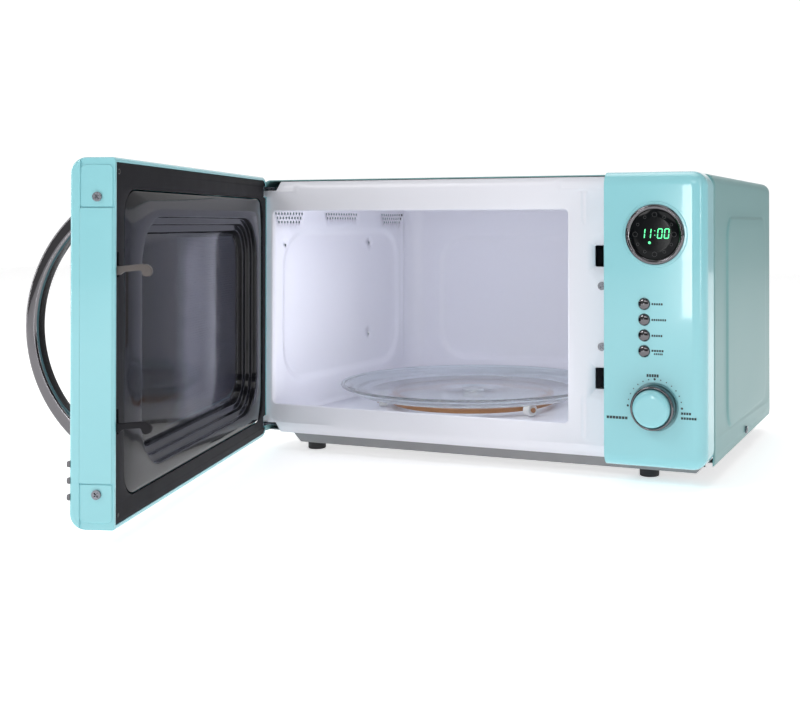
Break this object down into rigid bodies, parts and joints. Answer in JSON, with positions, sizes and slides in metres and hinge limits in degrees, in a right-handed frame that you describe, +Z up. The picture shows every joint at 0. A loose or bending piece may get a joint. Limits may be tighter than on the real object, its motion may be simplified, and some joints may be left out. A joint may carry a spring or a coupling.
{
  "type": "microwave oven",
  "caption": "Countertop microwave oven with a side-hinged door, bow handle, round display, push buttons, control knob and glass turntable.",
  "frame": {"origin": "centre of the cabinet shell's footprint, on the plane of the four feet", "axes": "+Z up, +Y from the front of the oven to its back, +X to the right when facing the door"},
  "size_m": [0.4623, 0.6411, 0.2615],
  "materials": {
    "aqua_enamel": "satin enamel, slightly pebbled",
    "white_enamel": "smooth white enamel",
    "grey_steel": "galvanised sheet",
    "bright_steel": "bright zinc plating",
    "aqua_plastic": "high gloss moulding",
    "chrome": "mirror chrome",
    "black_enamel": "gloss black enamel",
    "black_plastic": "fine texture",
    "perforated_steel": "perforated, matt",
    "dark_glass": "tinted",
    "clear_sheet": "clear",
    "clear_glass": "clear with a faint green edge",
    "tan_plastic": "heat-resistant moulding",
    "white_plastic": "satin",
    "rubber": "matt",
    "circuit_board": "solder resist",
    "copper": "enamelled winding wire",
    "aluminium": "plain",
    "mica": "pressed mica sheet"
  },
  "bodies": {
    "cabinet": {"cabinet_wrap": "aqua_enamel", "front_plate": "white_enamel", "cavity_box": "white_enamel", "base_pan": "grey_steel", "rear_panel": "grey_steel", "waveguide": "grey_steel", "transformer_core": "grey_steel", "fan_motor": "grey_steel", "cabinet_screws": "bright_steel", "upper_hinge": "bright_steel", "lower_hinge": "bright_steel", "encoder_body": "bright_steel", "control_panel": "aqua_plastic", "display_ring": "chrome", "latch_bracket": "black_plastic", "cord_gland": "black_plastic", "door_switches": "black_plastic", "lamp_socket": "black_plastic", "display_module": "black_plastic", "display_lens": "dark_glass", "cavity_lamp": "clear_glass", "fan_duct": "white_plastic", "feet": "rubber", "control_board": "circuit_board", "filter_board": "circuit_board", "transformer_windings": "copper", "magnetron": "aluminium", "capacitor": "aluminium", "turntable_motor": "aluminium", "waveguide_cover": "mica"},
    "door": {"door_frame": "aqua_plastic", "door_edge_strip": "aqua_plastic", "door_screws": "bright_steel", "window_trim": "chrome", "door_glass": "dark_glass", "door_plate": "black_enamel", "door_screen": "perforated_steel", "inner_window": "clear_sheet", "choke_cover": "black_plastic", "latch_guide": "black_plastic", "handle": "chrome", "trim_strips": "chrome", "latch_spring": "bright_steel"},
    "latch": {"latch_key": "black_plastic"},
    "plunger": {"encoder_plunger": "black_plastic"},
    "knob": {"knob_cap": "aqua_plastic", "knob_collar": "chrome", "encoder_shaft": "bright_steel"},
    "turntable": {"turntable_coupler": "white_plastic", "glass_tray": "clear_glass"},
    "ring": {"roller_ring": "tan_plastic"},
    "fan": {"fan_blade": "black_plastic"},
    "button_1": {"button_1": "chrome"},
    "button_2": {"button_2": "chrome"},
    "button_3": {"button_3": "chrome"},
    "button_4": {"button_4": "chrome"},
    "roller_1": {"roller_1": "white_plastic"},
    "roller_2": {"roller_2": "white_plastic"},
    "roller_3": {"roller_3": "white_plastic"}
  },
  "joints": [
    {"name": "door_hinge", "type": "hinge", "parent": "cabinet", "child": "door", "pos_m": [-0.2165, -0.15, 0.14], "axis": [0, 0, -1], "range_deg": [-73, 30]},
    {"name": "latch_slide", "type": "slide", "parent": "door", "child": "latch", "axis": [0, 0, 1], "range_m": [0, 0.006], "stiffness_N_per_m": 400, "springref_m": -0.004, "deforming": ["latch_spring"]},
    {"name": "knob_push", "type": "slide", "parent": "cabinet", "child": "plunger", "axis": [0, 1, 0], "range_m": [0, 0.0008], "stiffness_N_per_m": 2500},
    {"name": "knob_turn", "type": "hinge", "parent": "plunger", "child": "knob", "pos_m": [0.178, -0.18, 0.0675], "axis": [0, 1, 0], "continuous": true},
    {"name": "turntable_turn", "type": "hinge", "parent": "cabinet", "child": "turntable", "pos_m": [-0.0574, -0.005, 0.04], "axis": [0, 0, 1], "continuous": true},
    {"name": "ring_turn", "type": "hinge", "parent": "cabinet", "child": "ring", "pos_m": [-0.0574, -0.005, 0.037], "axis": [0, 0, 1], "continuous": true},
    {"name": "fan_turn", "type": "hinge", "parent": "cabinet", "child": "fan", "pos_m": [0.159, 0.123, 0.144], "axis": [0, 1, 0], "continuous": true},
    {"name": "button_1_press", "type": "slide", "parent": "cabinet", "child": "button_1", "axis": [0, 1, 0], "range_m": [0, 0.0012], "stiffness_N_per_m": 900},
    {"name": "button_2_press", "type": "slide", "parent": "cabinet", "child": "button_2", "axis": [0, 1, 0], "range_m": [0, 0.0012], "stiffness_N_per_m": 900},
    {"name": "button_3_press", "type": "slide", "parent": "cabinet", "child": "button_3", "axis": [0, 1, 0], "range_m": [0, 0.0012], "stiffness_N_per_m": 900},
    {"name": "button_4_press", "type": "slide", "parent": "cabinet", "child": "button_4", "axis": [0, 1, 0], "range_m": [0, 0.0012], "stiffness_N_per_m": 900},
    {"name": "roller_1_turn", "type": "hinge", "parent": "ring", "child": "roller_1", "pos_m": [-0.0574, 0.087, 0.0373], "axis": [0, 1, 0], "continuous": true},
    {"name": "roller_2_turn", "type": "hinge", "parent": "ring", "child": "roller_2", "pos_m": [-0.13707, -0.051, 0.0373], "axis": [-0.866, -0.5, 0], "continuous": true},
    {"name": "roller_3_turn", "type": "hinge", "parent": "ring", "child": "roller_3", "pos_m": [0.02227, -0.051, 0.0373], "axis": [0.866, -0.5, 0], "continuous": true}
  ],
  "couplings": [
    {"joint": "ring_turn", "follows": "turntable_turn", "ratio": 0.5},
    {"joint": "roller_1_turn", "follows": "turntable_turn", "ratio": -7.6667},
    {"joint": "roller_2_turn", "follows": "turntable_turn", "ratio": -7.6667},
    {"joint": "roller_3_turn", "follows": "turntable_turn", "ratio": -7.6667}
  ]
}
